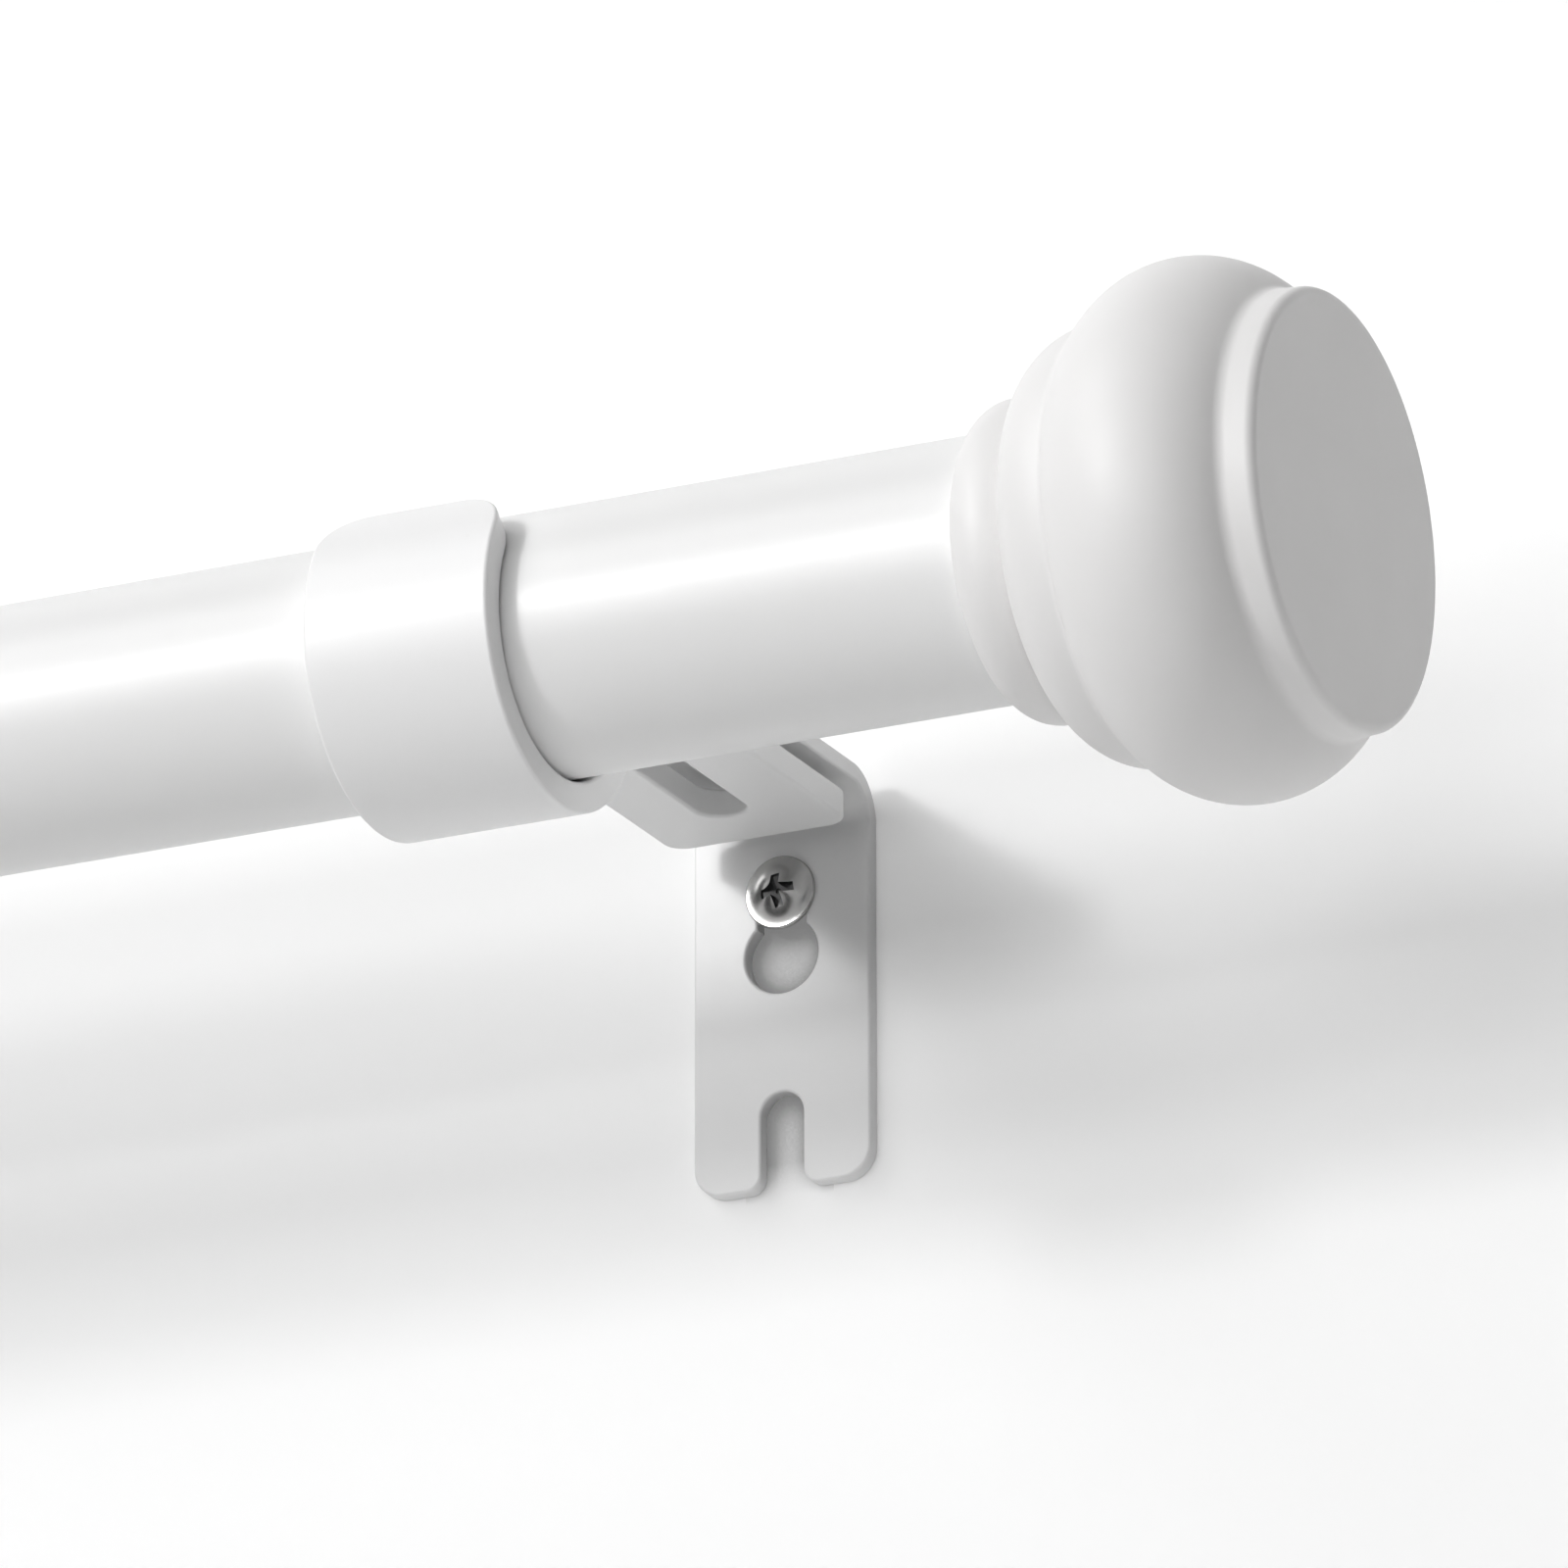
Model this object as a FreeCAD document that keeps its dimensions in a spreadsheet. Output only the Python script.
import FreeCAD, Part
import os
import re
import Sketcher

# Extendable curtain rod with a turned finial at each end and two adjustable wall brackets.
# Millimetres. X runs along the rod towards the finial of the larger tube, Y towards the wall, Z up.
# The origin lies on the wall face of the right-hand wall plate, on its centre line.

os.makedirs("parts", exist_ok=True)
doc = FreeCAD.newDocument("curtain_rod")
sheet = doc.addObject("Spreadsheet::Sheet", "Sizes")

# Driving sizes
SIZES = [
    ("rod_diameter", 25.4, "outer tube, one inch"),
    ("inner_diameter", 22.2, "sliding inner tube"),
    ("tube_wall", 0.8, "wall of both tubes"),
    ("shortest_length", 711.2, "tube ends, rod closed, 28 in"),
    ("mouth_clear", 16.3, "left cradle to the outer tube's mouth, rod closed"),
    ("inner_clear", 5.2, "inner tube to the right end plug, rod closed"),
    ("running_gap", 0.06, "radial, tube on its bushes"),
    ("fixed_gap", 0.03, "radial, pieces that are pressed or screwed together"),
    ("rest_gap", 0.3, "rod above the floor of its cradle"),
    ("slide_gap", 0.1, "tail to the nut and to the screw head"),
    ("wall_distance", 68.2, "wall to rod axis"),
    ("rod_height", 14.4, "rod axis above the origin"),
    ("bracket_inset", 55.7, "bracket centre to tube end"),
    ("strip_width", 19.2, "cradle strip"),
    ("strip_thickness", 3.0, "cradle strip"),
    ("tip_angle", 46.0, "cradle tip above the horizontal"),
    ("tip_corner", 5.0, "cradle tip corner radius"),
    ("back_bend", 2.0, "small side of the bend into the tail"),
    ("tail_height", 2.4, "tail underside above the rod axis"),
    ("tail_end", 62.1, "tail end behind the rod axis"),
    ("tail_corner", 2.2, "tail corner radius"),
    ("tail_slot_width", 5.1, "adjusting slot"),
    ("tail_slot_start", 21.8, "behind the rod axis"),
    ("tail_web", 6.7, "adjusting slot to the tail's end"),
    ("nut_space", 1.9, "between tail and arm"),
    ("plate_width", 18.9, "wall plate"),
    ("plate_thickness", 1.8, "wall plate"),
    ("plate_drop", 17.5, "plate bottom below the origin"),
    ("plate_bend", 3.2, "inner bend radius"),
    ("plate_corner", 3.0, "bottom corner radius"),
    ("arm_clear", 7.5, "arm's front edge past the clamp screw's axis"),
    ("arm_corner", 3.0, "arm corner radius"),
    ("fork_width", 4.6, "open slot at the plate bottom"),
    ("fork_top", 7.8, "slot top below the origin"),
    ("fork_corner", 1.6, "slot mouth corner radius"),
    ("key_radius", 3.9, "large circle of the keyhole"),
    ("key_height", 6.2, "large circle above the origin"),
    ("key_neck", 5.2, "neck width"),
    ("screw_height", 12.5, "wall screw above the origin"),
    ("screw_head_radius", 3.7, "wall screw"),
    ("screw_head_rim", 0.5, "wall screw"),
    ("screw_head_height", 2.6, "wall screw"),
    ("screw_dome", 4.31, "radius of the round head"),
    ("screw_shank", 2.0, "wall screw radius"),
    ("screw_length", 32.0, "wall screw under the head"),
    ("screw_point", 4.0, "wall screw"),
    ("recess_reach", 2.1, "cross recess, centre to arm end"),
    ("recess_half", 0.5, "cross recess, half an arm's width"),
    ("recess_depth", 1.5, "cross recess"),
    ("anchor_gap", 0.12, "radial, anchor inside the outline of the keyhole's neck"),
    ("anchor_wall", 0.35, "wall anchor at its tip"),
    ("anchor_taper", 18.0, "length of the anchor's tapered end"),
    ("anchor_length", 27.0, "wall anchor"),
    ("clamp_clear", 3.4, "clamp screw to the front end of its slot"),
    ("clamp_radius", 2.4, "clamp screw thread"),
    ("clamp_head_radius", 4.0, "clamp screw"),
    ("clamp_head_height", 2.6, "clamp screw"),
    ("clamp_tip", 0.8, "screw end above the arm"),
    ("nut_radius", 4.2, "press nut"),
    ("nut_collar", 3.3, "press nut"),
    ("nut_set", 0.3, "collar below the arm's top"),
    ("bush_length", 15.0, "both tube bushes"),
    ("bush_lip", 1.2, "lip at the outer tube's mouth"),
    ("plug_length", 18.0, "plug in a tube end"),
    ("stud_radius", 3.0, "finial stud"),
    ("stud_reach", 14.0, "stud length each side"),
    ("stud_room", 1.0, "depth past the stud"),
    ("neck_radius", 12.9, "finial at the tube end"),
    ("bead_end", 5.88, "first bead ends"),
    ("bead_end_radius", 14.32, "first bead ends"),
    ("bead_round", 3.6, "first bead"),
    ("collar_end", 12.8, "second bead ends"),
    ("collar_end_radius", 20.82, "second bead ends"),
    ("collar_round", 7.0, "second bead"),
    ("bulb_end", 30.2, "bulb ends"),
    ("bulb_end_radius", 21.52, "bulb ends"),
    ("bulb_round", 11.01, "bulb"),
    ("cove_end", 31.4, "cove ends"),
    ("cove_end_radius", 20.93, "cove ends"),
    ("cove_round", 1.6, "cove"),
    ("rim_length", 1.7, "band between the cove and the cap's edge"),
    ("rim_taper", 0.1, "drop in radius along the band"),
    ("cap_round", 1.0, "cap edge"),
]

# Sizes that follow from the driving ones
DERIVED = [
    ("rod_radius", "rod_diameter / 2"),
    ("rod_bore", "rod_radius - tube_wall"),
    ("inner_radius", "inner_diameter / 2"),
    ("inner_bore", "inner_radius - tube_wall"),
    ("cradle_inner", "rod_radius + rest_gap"),
    ("cradle_outer", "cradle_inner + strip_thickness"),
    ("tail_top", "tail_height + strip_thickness"),
    ("tail_slot_end", "tail_end - tail_web"),
    ("clamp_setback", "wall_distance - tail_slot_start - clamp_radius - clamp_clear"),
    ("arm_length", "clamp_setback + arm_clear"),
    ("bend_reach", "cradle_outer + back_bend"),
    ("bend_z", "tail_height - back_bend"),
    ("bend_y", "sqrt(bend_reach * bend_reach - bend_z * bend_z)"),
    ("bend_large", "back_bend + strip_thickness"),
    ("under_y", "bend_y * cradle_outer / bend_reach"),
    ("under_z", "bend_z * cradle_outer / bend_reach"),
    ("over_y", "bend_y * cradle_inner / bend_reach"),
    ("over_z", "bend_z * cradle_inner / bend_reach"),
    ("tip_inner_y", "cradle_inner * cos(tip_angle)"),
    ("tip_inner_z", "cradle_inner * sin(tip_angle)"),
    ("tip_outer_y", "cradle_outer * cos(tip_angle)"),
    ("tip_outer_z", "cradle_outer * sin(tip_angle)"),
    ("arm_under", "rod_height + tail_top + nut_space"),
    ("arm_top", "arm_under + plate_thickness"),
    ("plate_bend_outer", "plate_bend + plate_thickness"),
    ("arm_bend_end", "plate_bend_outer"),
    ("plate_bend_top", "arm_top - plate_bend_outer"),
    ("rim_end", "cove_end + rim_length"),
    ("rim_end_radius", "cove_end_radius - rim_taper"),
    ("cap_end", "rim_end + cap_round"),
    ("cap_radius", "rim_end_radius - cap_round"),
    ("neck_join", "key_height + sqrt(key_radius * key_radius - key_neck * key_neck / 4)"),
    ("key_bottom", "key_height - key_radius"),
    ("fork_round_top", "fork_top + fork_width / 2"),
    ("nut_hole", "nut_collar + fixed_gap"),
    ("nut_bore", "clamp_radius + fixed_gap"),
    ("nut_flange", "nut_space - slide_gap"),
    ("nut_top", "plate_thickness - nut_set"),
    ("clamp_grip", "slide_gap + strip_thickness + nut_space + plate_thickness + clamp_tip"),
    ("clamp_z", "rod_height + tail_height - slide_gap"),
    ("anchor_bore", "screw_shank + fixed_gap"),
    ("anchor_radius", "key_neck / 2 - anchor_gap"),
    ("anchor_tip", "anchor_bore + anchor_wall"),
    ("stud_bore", "stud_radius + fixed_gap"),
    ("stud_hole", "stud_reach + stud_room"),
    ("mouth_bore", "inner_radius + running_gap"),
    ("mouth_fit", "rod_bore - fixed_gap"),
    ("guide_radius", "rod_bore - running_gap"),
    ("guide_bore", "inner_radius + fixed_gap"),
    ("plug_right_radius", "rod_bore - fixed_gap"),
    ("plug_left_radius", "inner_bore - fixed_gap"),
    ("tube_end", "bracket_inset"),
    ("outer_length", "shortest_length - bracket_inset - strip_width / 2 - mouth_clear"),
    ("inner_length", "shortest_length - plug_length - inner_clear"),
    ("outer_start", "tube_end - outer_length"),
    ("left_end", "tube_end - shortest_length"),
    ("inner_end", "left_end + inner_length"),
    ("left_bracket", "left_end + bracket_inset"),
    ("left_lift", "rod_radius - inner_radius"),
]

row = 1
for alias, number, note in SIZES:
    sheet.set("A%d" % row, note)
    sheet.set("B%d" % row, str(number))
    sheet.setAlias("B%d" % row, alias)
    row += 1
for alias, formula in DERIVED:
    sheet.set("B%d" % row, "=" + formula)
    sheet.setAlias("B%d" % row, alias)
    row += 1
doc.recompute()


def value(text):
    """Number for a sum such as 'tube_end - outer_length' or '- fork_width/2'."""
    total = 0.0
    sign = 1.0
    for word in text.split():
        if word in "+-":
            sign = -1.0 if word == "-" else 1.0
            continue
        name, _, share = word.partition("/")
        number = float(sheet.get(name)) if name[0].isalpha() else float(name)
        total += sign * number / (float(share) if share else 1.0)
        sign = 1.0
    return total


def formula(text):
    """The same sum as an expression on the sheet."""
    return re.sub(r"[a-z][a-z_]*", lambda word: "Sizes." + word.group(0), text)


def new_body(label):
    body = doc.addObject("PartDesign::Body", label)
    body.Label = label
    return body


def place(body, x="0", y="0", z="0", axis=None, degrees=0.0):
    """Seat a body in the shared frame, its position bound to the sheet."""
    if axis:
        body.Placement = FreeCAD.Placement(FreeCAD.Vector(), FreeCAD.Rotation(axis, degrees))
    for letter, text in (("x", x), ("y", y), ("z", z)):
        body.setExpression("Placement.Base." + letter, formula(text))


def new_sketch(body, name, plane, offset=None):
    sketch = body.newObject("Sketcher::SketchObject", body.Name + "_" + name)
    for feature in body.Origin.OriginFeatures:
        if feature.Role == plane:
            sketch.AttachmentSupport = [(feature, "")]
    sketch.MapMode = "FlatFace"
    if offset:
        sketch.setExpression("AttachmentOffset.Base.z", formula(offset))
    return sketch


def pin_point(sketch, geo, pos, x, y):
    """Hold a sketch point at sheet-driven coordinates."""
    for kind, text, axis in (("DistanceX", x, -2), ("DistanceY", y, -1)):
        if text == "0":
            sketch.addConstraint(Sketcher.Constraint("PointOnObject", geo, pos, axis))
            continue
        index = sketch.addConstraint(Sketcher.Constraint(kind, -1, 1, geo, pos, value(text)))
        sketch.setExpression("Constraints[%d]" % index, formula(text))


def outline(sketch, points, arcs=None):
    """Closed outline. arcs gives, per starting point, (radius, turn); turn 1 runs anticlockwise.

    A radius of 'flat' or 'upright' makes a half circle whose ends lie level or plumb.
    """
    arcs = arcs or {}
    count = len(points)
    spots = [FreeCAD.Vector(value(x), value(y), 0) for x, y in points]
    starts = []
    ends = []
    rounds = []
    for number in range(count):
        first = spots[number]
        last = spots[(number + 1) % count]
        if number not in arcs:
            geo = sketch.addGeometry(Part.LineSegment(first, last), False)
            starts.append((geo, 1))
            ends.append((geo, 2))
            continue
        radius_text, turn = arcs[number]
        chord = last - first
        half = chord.Length / 2
        radius = half if radius_text in ("flat", "upright") else value(radius_text)
        rise = max(radius * radius - half * half, 0.0) ** 0.5
        across = FreeCAD.Vector(-chord.y, chord.x, 0).normalize()
        centre = (first + last) * 0.5 + across * (rise * turn)
        circle = Part.Circle(centre, FreeCAD.Vector(0, 0, 1), radius)
        begin, finish = (first, last) if turn > 0 else (last, first)
        arc = Part.ArcOfCircle(circle, circle.parameter(begin), circle.parameter(finish))
        geo = sketch.addGeometry(arc, False)
        starts.append((geo, 1 if turn > 0 else 2))
        ends.append((geo, 2 if turn > 0 else 1))
        rounds.append((geo, radius_text))
    for number in range(count):
        geo, pos = ends[number]
        following, begin = starts[(number + 1) % count]
        sketch.addConstraint(Sketcher.Constraint("Coincident", geo, pos, following, begin))
    for number, (x, y) in enumerate(points):
        pin_point(sketch, starts[number][0], starts[number][1], x, y)
    for geo, radius_text in rounds:
        if radius_text == "flat":
            sketch.addConstraint(Sketcher.Constraint("Horizontal", geo, 3, geo, 1))
        elif radius_text == "upright":
            sketch.addConstraint(Sketcher.Constraint("Vertical", geo, 3, geo, 1))
        else:
            index = sketch.addConstraint(Sketcher.Constraint("Radius", geo, value(radius_text)))
            sketch.setExpression("Constraints[%d]" % index, formula(radius_text))


def circle_at(sketch, x, y, radius):
    circle = Part.Circle(FreeCAD.Vector(value(x), value(y), 0), FreeCAD.Vector(0, 0, 1), value(radius))
    geo = sketch.addGeometry(circle, False)
    pin_point(sketch, geo, 3, x, y)
    index = sketch.addConstraint(Sketcher.Constraint("Radius", geo, value(radius)))
    sketch.setExpression("Constraints[%d]" % index, formula(radius))


def pad(body, sketch, length):
    feature = body.newObject("PartDesign::Pad", sketch.Name + "_pad")
    feature.Profile = sketch
    feature.setExpression("Length", formula(length))
    sketch.Visibility = False
    return feature


def pocket(body, sketch, depth=None, backwards=False):
    feature = body.newObject("PartDesign::Pocket", sketch.Name + "_cut")
    feature.Profile = sketch
    feature.Reversed = backwards
    if depth:
        feature.setExpression("Length", formula(depth))
    else:
        feature.Type = 1
    sketch.Visibility = False
    return feature


def turned(body, sketch, axis):
    feature = body.newObject("PartDesign::Revolution", sketch.Name + "_turned")
    feature.Profile = sketch
    feature.ReferenceAxis = (sketch, [axis])
    feature.Angle = 360.0
    sketch.Visibility = False
    return feature


def fillet(body, feature, name, radius, spots):
    """Round the edges whose centres lie nearest the given local points."""
    doc.recompute()
    names = []
    for x, y, z in spots:
        target = FreeCAD.Vector(value(x), value(y), value(z))
        shape = feature.Shape
        gaps = [(edge.CenterOfMass.distanceToPoint(target), n) for n, edge in enumerate(shape.Edges)]
        names.append("Edge%d" % (min(gaps)[1] + 1))
    rounded = body.newObject("PartDesign::Fillet", body.Name + "_" + name)
    rounded.Base = (feature, names)
    rounded.setExpression("Radius", formula(radius))
    return rounded


def tube(label, radius, bore, length, x):
    """Plain round tube along the rod axis, its left end at x."""
    body = new_body(label)
    sketch = new_sketch(body, "ring", "YZ_Plane")
    circle_at(sketch, "0", "0", radius)
    circle_at(sketch, "0", "0", bore)
    pad(body, sketch, length)
    place(body, x, "- wall_distance", "rod_height")
    return body


def finial(label, x, flip):
    """Turned finial: neck, two beads, bulb, cove and flat cap, bored for its stud."""
    body = new_body(label)
    sketch = new_sketch(body, "profile", "XY_Plane")
    outline(
        sketch,
        [
            ("0", "neck_radius"),
            ("bead_end", "bead_end_radius"),
            ("collar_end", "collar_end_radius"),
            ("bulb_end", "bulb_end_radius"),
            ("cove_end", "cove_end_radius"),
            ("rim_end", "rim_end_radius"),
            ("cap_end", "cap_radius"),
            ("cap_end", "0"),
            ("stud_hole", "0"),
            ("stud_hole", "stud_bore"),
            ("0", "stud_bore"),
        ],
        {
            0: ("bead_round", -1),
            1: ("collar_round", -1),
            2: ("bulb_round", -1),
            3: ("cove_round", 1),
            5: ("cap_round", -1),
        },
    )
    turned(body, sketch, "H_Axis")
    place(body, x, "- wall_distance", "rod_height", FreeCAD.Vector(0, 0, 1), flip)
    return body


def turned_x(label, points, x, flip=0.0):
    """Straight-sided piece turned about the rod axis."""
    body = new_body(label)
    sketch = new_sketch(body, "profile", "XY_Plane")
    outline(sketch, points)
    turned(body, sketch, "H_Axis")
    place(body, x, "- wall_distance", "rod_height", FreeCAD.Vector(0, 0, 1), flip)
    return body


def cradle(label, x, lift):
    """Bent strip: open cup for the rod and a slotted tail that lies under the bracket arm."""
    body = new_body(label)
    side = new_sketch(body, "side", "YZ_Plane")
    outline(
        side,
        [
            ("- tip_outer_y", "tip_outer_z"),
            ("0", "- cradle_outer"),
            ("under_y", "under_z"),
            ("bend_y", "tail_height"),
            ("tail_end", "tail_height"),
            ("tail_end", "tail_top"),
            ("bend_y", "tail_top"),
            ("over_y", "over_z"),
            ("0", "- cradle_inner"),
            ("- tip_inner_y", "tip_inner_z"),
        ],
        {
            0: ("cradle_outer", 1),
            1: ("cradle_outer", 1),
            2: ("back_bend", -1),
            6: ("bend_large", 1),
            7: ("cradle_inner", -1),
            8: ("cradle_inner", -1),
        },
    )
    strip = pad(body, side, "strip_width")
    slot = new_sketch(body, "slot", "XY_Plane")
    near = "tail_slot_start + tail_slot_width/2"
    far = "tail_slot_end - tail_slot_width/2"
    left = "strip_width/2 - tail_slot_width/2"
    right = "strip_width/2 + tail_slot_width/2"
    outline(
        slot,
        [(left, near), (right, near), (right, far), (left, far)],
        {0: ("flat", 1), 2: ("flat", 1)},
    )
    cut = pocket(body, slot, backwards=True)
    middle_z = "tail_height + strip_thickness/2"
    tail = fillet(
        body, cut, "tail_corners", "tail_corner",
        [("0", "tail_end", middle_z), ("strip_width", "tail_end", middle_z)],
    )
    tip_y = "- tip_inner_y/2 - tip_outer_y/2"
    tip_z = "tip_inner_z/2 + tip_outer_z/2"
    fillet(
        body, tail, "tip_corners", "tip_corner",
        [("0", tip_y, tip_z), ("strip_width", tip_y, tip_z)],
    )
    place(body, x + " - strip_width/2", "- wall_distance", "rod_height" + lift)
    return body


def wall_plate(label, x, lift):
    """Bent plate: keyhole and open slot for the wall screws, arm above for the clamp nut."""
    body = new_body(label)
    side = new_sketch(body, "side", "YZ_Plane")
    outline(
        side,
        [
            ("0", "- plate_drop"),
            ("0", "plate_bend_top"),
            ("- plate_bend_outer", "arm_top"),
            ("- arm_length", "arm_top"),
            ("- arm_length", "arm_under"),
            ("- plate_bend_outer", "arm_under"),
            ("- plate_thickness", "plate_bend_top"),
            ("- plate_thickness", "- plate_drop"),
        ],
        {1: ("plate_bend_outer", 1), 5: ("plate_bend", -1)},
    )
    pad(body, side, "plate_width")
    keyhole = new_sketch(body, "keyhole", "XZ_Plane")
    left = "plate_width/2 - key_neck/2"
    right = "plate_width/2 + key_neck/2"
    outline(
        keyhole,
        [
            (left, "neck_join"),
            ("plate_width/2", "key_bottom"),
            (right, "neck_join"),
            (right, "screw_height"),
            (left, "screw_height"),
        ],
        {0: ("key_radius", 1), 1: ("key_radius", 1), 3: ("flat", 1)},
    )
    pocket(body, keyhole, "plate_thickness", backwards=True)
    fork = new_sketch(body, "fork", "XZ_Plane")
    left = "plate_width/2 - fork_width/2"
    right = "plate_width/2 + fork_width/2"
    outline(
        fork,
        [
            (left, "- plate_drop"),
            (right, "- plate_drop"),
            (right, "- fork_round_top"),
            (left, "- fork_round_top"),
        ],
        {2: ("flat", 1)},
    )
    pocket(body, fork, "plate_thickness", backwards=True)
    hole = new_sketch(body, "nut_hole", "XY_Plane")
    circle_at(hole, "plate_width/2", "- clamp_setback", "nut_hole")
    cut = pocket(body, hole, backwards=True)
    middle_y = "- plate_thickness/2"
    corners = fillet(
        body, cut, "corners", "plate_corner",
        [("0", middle_y, "- plate_drop"), ("plate_width", middle_y, "- plate_drop")],
    )
    mouth = fillet(
        body, corners, "mouth", "fork_corner",
        [(left, middle_y, "- plate_drop"), (right, middle_y, "- plate_drop")],
    )
    middle_z = "arm_under + plate_thickness/2"
    fillet(
        body, mouth, "arm_corners", "arm_corner",
        [("0", "- arm_length", middle_z), ("plate_width", "- arm_length", middle_z)],
    )
    place(body, x + " - plate_width/2", "0", "0" + lift)
    return body


def recess(body, height):
    """Cross recess sunk from the top of a screw head."""
    cross = new_sketch(body, "cross", "XY_Plane", height)
    reach = "recess_reach"
    half = "recess_half"
    outline(
        cross,
        [
            (reach, "- " + half), (reach, half), (half, half), (half, reach),
            ("- " + half, reach), ("- " + half, half), ("- " + reach, half), ("- " + reach, "- " + half),
            ("- " + half, "- " + half), ("- " + half, "- " + reach), (half, "- " + reach), (half, "- " + half),
        ],
    )
    pocket(body, cross, "recess_depth")


def wall_screw(label, x, lift):
    """Round-headed wall screw, its head on the plate."""
    body = new_body(label)
    sketch = new_sketch(body, "profile", "XZ_Plane")
    outline(
        sketch,
        [
            ("0", "screw_head_height"),
            ("0", "- screw_length"),
            ("screw_shank", "screw_point - screw_length"),
            ("screw_shank", "0"),
            ("screw_head_radius", "0"),
            ("screw_head_radius", "screw_head_rim"),
        ],
        {5: ("screw_dome", 1)},
    )
    turned(body, sketch, "V_Axis")
    recess(body, "screw_head_height")
    place(body, x, "- plate_thickness", "screw_height" + lift, FreeCAD.Vector(1, 0, 0), 90.0)
    return body


def wall_anchor(label, x, lift):
    """Hollow anchor in the wall, round the wall screw."""
    body = new_body(label)
    sketch = new_sketch(body, "profile", "XZ_Plane")
    outline(
        sketch,
        [
            ("anchor_bore", "0"),
            ("anchor_bore", "- anchor_length"),
            ("anchor_tip", "- anchor_length"),
            ("anchor_radius", "anchor_taper - anchor_length"),
            ("anchor_radius", "0"),
        ],
    )
    turned(body, sketch, "V_Axis")
    place(body, x, "0", "screw_height" + lift, FreeCAD.Vector(1, 0, 0), 90.0)
    return body


def clamp_nut(label, x, lift):
    """Press nut: collar in the arm's hole, flange below it."""
    body = new_body(label)
    sketch = new_sketch(body, "profile", "XZ_Plane")
    outline(
        sketch,
        [
            ("nut_bore", "- nut_flange"),
            ("nut_radius", "- nut_flange"),
            ("nut_radius", "0"),
            ("nut_collar", "0"),
            ("nut_collar", "nut_top"),
            ("nut_bore", "nut_top"),
        ],
    )
    turned(body, sketch, "V_Axis")
    place(body, x, "- clamp_setback", "arm_under" + lift)
    return body


def clamp_screw(label, x, lift):
    """Clamp screw, put in from below through the tail's slot."""
    body = new_body(label)
    sketch = new_sketch(body, "profile", "XZ_Plane")
    outline(
        sketch,
        [
            ("0", "- clamp_grip"),
            ("clamp_radius", "- clamp_grip"),
            ("clamp_radius", "0"),
            ("clamp_head_radius", "0"),
            ("clamp_head_radius", "clamp_head_height"),
            ("0", "clamp_head_height"),
        ],
    )
    turned(body, sketch, "V_Axis")
    recess(body, "clamp_head_height")
    place(body, x, "- clamp_setback", "clamp_z" + lift, FreeCAD.Vector(1, 0, 0), 180.0)
    return body


# Rod
nodes = [
    tube("outer_tube", "rod_radius", "rod_bore", "outer_length", "outer_start"),
    tube("inner_tube", "inner_radius", "inner_bore", "inner_length", "left_end"),
    turned_x(
        "mouth_bush",
        [
            ("- bush_lip", "mouth_bore"),
            ("- bush_lip", "rod_radius"),
            ("0", "rod_radius"),
            ("0", "mouth_fit"),
            ("bush_length", "mouth_fit"),
            ("bush_length", "mouth_bore"),
        ],
        "outer_start",
    ),
    turned_x(
        "guide_bush",
        [
            ("- bush_length", "guide_bore"),
            ("- bush_length", "guide_radius"),
            ("0", "guide_radius"),
            ("0", "guide_bore"),
        ],
        "inner_end",
    ),
]

# Ends of the rod
for side, x, flip in (("right", "tube_end", 0.0), ("left", "left_end", 180.0)):
    plug = "plug_%s_radius" % side
    nodes.append(finial("finial_" + side, x, flip))
    nodes.append(
        turned_x(
            "finial_stud_" + side,
            [
                ("- stud_reach", "0"),
                ("- stud_reach", "stud_radius"),
                ("stud_reach", "stud_radius"),
                ("stud_reach", "0"),
            ],
            x,
            flip,
        )
    )
    nodes.append(
        turned_x(
            "end_plug_" + side,
            [("- plug_length", "stud_bore"), ("- plug_length", plug), ("0", plug), ("0", "stud_bore")],
            x,
            flip,
        )
    )

# Brackets; the left one sits higher because it carries the thinner tube
for side, x, lift in (("right", "0", ""), ("left", "left_bracket", " + left_lift")):
    nodes.append(cradle("cradle_" + side, x, lift))
    nodes.append(wall_plate("wall_plate_" + side, x, lift))
    nodes.append(clamp_nut("clamp_nut_" + side, x, lift))
    nodes.append(clamp_screw("clamp_screw_" + side, x, lift))
    nodes.append(wall_screw("wall_screw_" + side, x, lift))
    nodes.append(wall_anchor("wall_anchor_" + side, x, lift))

doc.recompute()

# Every object has to be sound before anything is exported
for item in doc.Objects:
    if "Invalid" in item.State or "Error" in item.State:
        raise RuntimeError("%s did not compute: %s" % (item.Name, item.State))
for body in nodes:
    shape = body.Shape
    if shape.isNull() or not shape.isValid() or shape.Volume <= 0:
        raise RuntimeError(body.Label + " has no sound shape")
    shape.exportStep("parts/%s.step" % body.Label)
    box = shape.BoundBox
    print(
        "%-20s %9.1f mm3  x %7.1f %7.1f  y %6.1f %6.1f  z %6.1f %6.1f  faces %d"
        % (
            body.Label, shape.Volume, box.XMin, box.XMax, box.YMin, box.YMax,
            box.ZMin, box.ZMax, len(shape.Faces),
        )
    )
